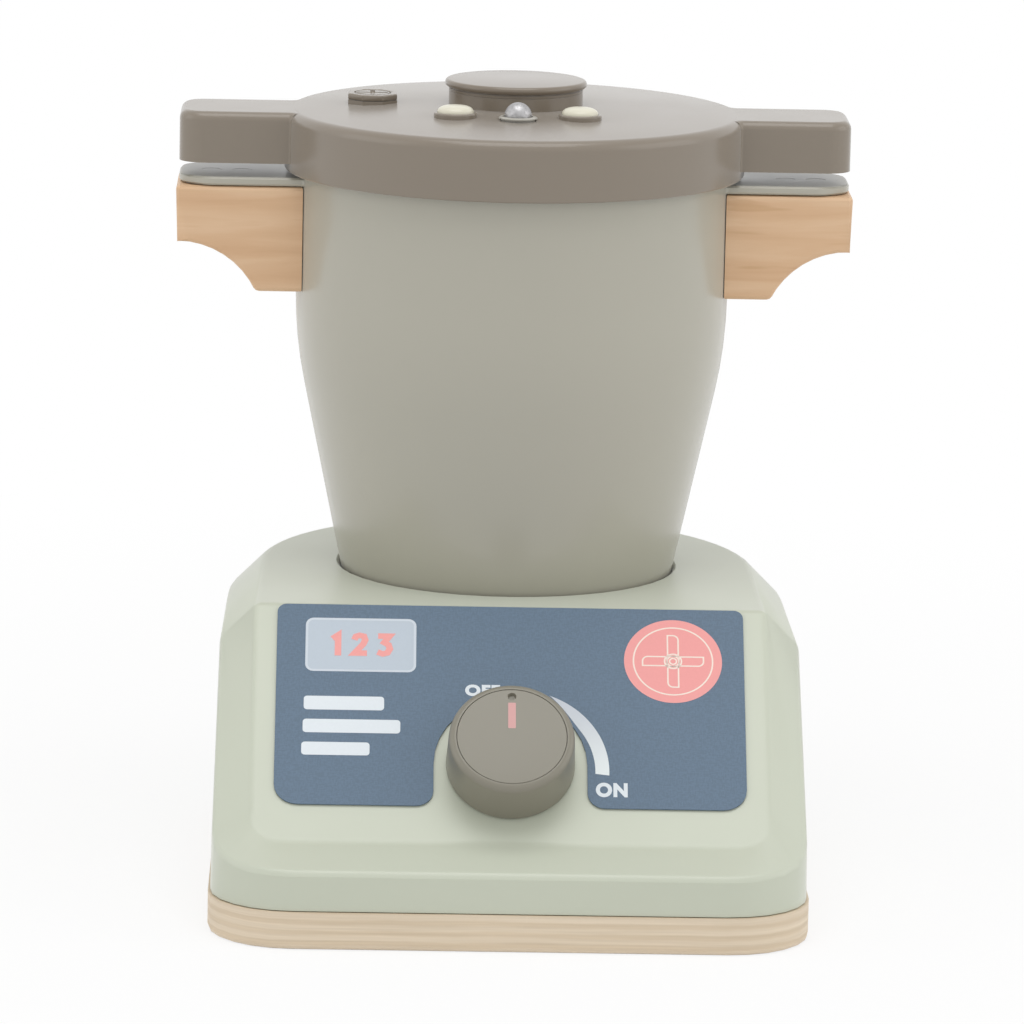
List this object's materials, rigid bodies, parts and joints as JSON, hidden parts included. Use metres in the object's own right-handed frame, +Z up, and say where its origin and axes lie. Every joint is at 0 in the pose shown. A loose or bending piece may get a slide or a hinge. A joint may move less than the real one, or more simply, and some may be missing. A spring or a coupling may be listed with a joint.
{
  "type": "toy food processor",
  "caption": "Play food processor: plywood-based body with a click knob, lift-out pot with wooden handles and mixing rotor, and an eared lid with cap, buttons, valve and dial.",
  "frame": {"origin": "on the pot's axis, at the underside of the plywood board", "axes": "+Z up along the pot's axis, -Y towards the panel and knob, +X to the right as seen from the front"},
  "size_m": [0.2196, 0.2454, 0.2533],
  "materials": {
    "birch_plywood": "bare birch plywood, sanded, plies showing at the edge",
    "beech": "oiled solid wood",
    "sage_plastic": "satin sage green",
    "pot_plastic": "satin grey green",
    "taupe_plastic": "satin taupe",
    "ivory_plastic": "ivory, slightly glossy",
    "pink_plastic": "pale pink inlay",
    "label_print": "printed blue-grey sheet with a fine grain",
    "nylon": "natural nylon",
    "seal_rubber": "soft grey rubber",
    "brass": "turned brass",
    "bright_steel": "bright steel",
    "screw_steel": "zinc-plated steel"
  },
  "bodies": {
    "base": {"base_board": "birch_plywood", "base_screw_1": "screw_steel", "base_screw_2": "screw_steel", "base_screw_3": "screw_steel", "base_screw_4": "screw_steel", "base_screw_5": "screw_steel", "base_screw_6": "screw_steel", "base_housing": "sage_plastic", "panel_label": "label_print", "spindle_bush": "brass", "bush_nut": "brass", "detent_spring": "bright_steel"},
    "knob": {"knob_body": "taupe_plastic", "knob_cap": "taupe_plastic", "knob_pointer": "pink_plastic", "knob_spindle": "bright_steel", "detent_disc": "nylon", "spindle_clip": "screw_steel"},
    "pot": {"pot_shell": "pot_plastic", "left_handle_block": "beech", "right_handle_block": "beech", "left_handle_screw_1": "screw_steel", "left_handle_screw_2": "screw_steel", "right_handle_screw_1": "screw_steel", "right_handle_screw_2": "screw_steel", "rotor_pin": "bright_steel", "rotor_washer": "nylon", "rotor_cap_nut": "bright_steel"},
    "rotor": {"mixing_rotor": "ivory_plastic"},
    "lid": {"lid": "taupe_plastic", "lid_seal": "seal_rubber", "valve_ring": "ivory_plastic", "left_button_spring": "bright_steel", "right_button_spring": "bright_steel", "valve_spring": "bright_steel"},
    "cap": {"filler_cap": "taupe_plastic"},
    "left_button": {"left_button": "ivory_plastic", "left_button_clip": "screw_steel"},
    "right_button": {"right_button": "ivory_plastic", "right_button_clip": "screw_steel"},
    "valve": {"valve_ball": "bright_steel", "valve_clip": "screw_steel"},
    "dial": {"vent_dial": "taupe_plastic", "vent_dial_clip": "screw_steel"}
  },
  "joints": [
    {"name": "knob_turn", "type": "hinge", "parent": "base", "child": "knob", "pos_m": [0, -0.11356, 0.05094], "axis": [0, -0.7071, 0.7071], "range_deg": [-90, 0]},
    {"name": "pot_lift", "type": "slide", "parent": "base", "child": "pot", "axis": [0, 0, 1], "range_m": [0, 0.12]},
    {"name": "rotor_spin", "type": "hinge", "parent": "pot", "child": "rotor", "pos_m": [0, 0, 0.0859], "axis": [0, 0, 1], "continuous": true},
    {"name": "lid_lift", "type": "slide", "parent": "pot", "child": "lid", "axis": [0, 0, 1], "range_m": [0, 0.08]},
    {"name": "cap_lift", "type": "slide", "parent": "lid", "child": "cap", "axis": [0, 0, 1], "range_m": [0, 0.05]},
    {"name": "left_button_press", "type": "slide", "parent": "lid", "child": "left_button", "axis": [0, 0, -1], "range_m": [0, 0.002], "stiffness_N_per_m": 250, "springref_m": -0.001, "deforming": ["left_button_spring"]},
    {"name": "right_button_press", "type": "slide", "parent": "lid", "child": "right_button", "axis": [0, 0, -1], "range_m": [0, 0.002], "stiffness_N_per_m": 250, "springref_m": -0.001, "deforming": ["right_button_spring"]},
    {"name": "valve_press", "type": "slide", "parent": "lid", "child": "valve", "axis": [0, 0, -1], "range_m": [0, 0.0015], "stiffness_N_per_m": 250, "springref_m": -0.001, "deforming": ["valve_spring"]},
    {"name": "vent_dial_turn", "type": "hinge", "parent": "lid", "child": "dial", "pos_m": [-0.0466, 0.003, 0.245], "axis": [0, 0, 1], "range_deg": [-90, 0]}
  ]
}
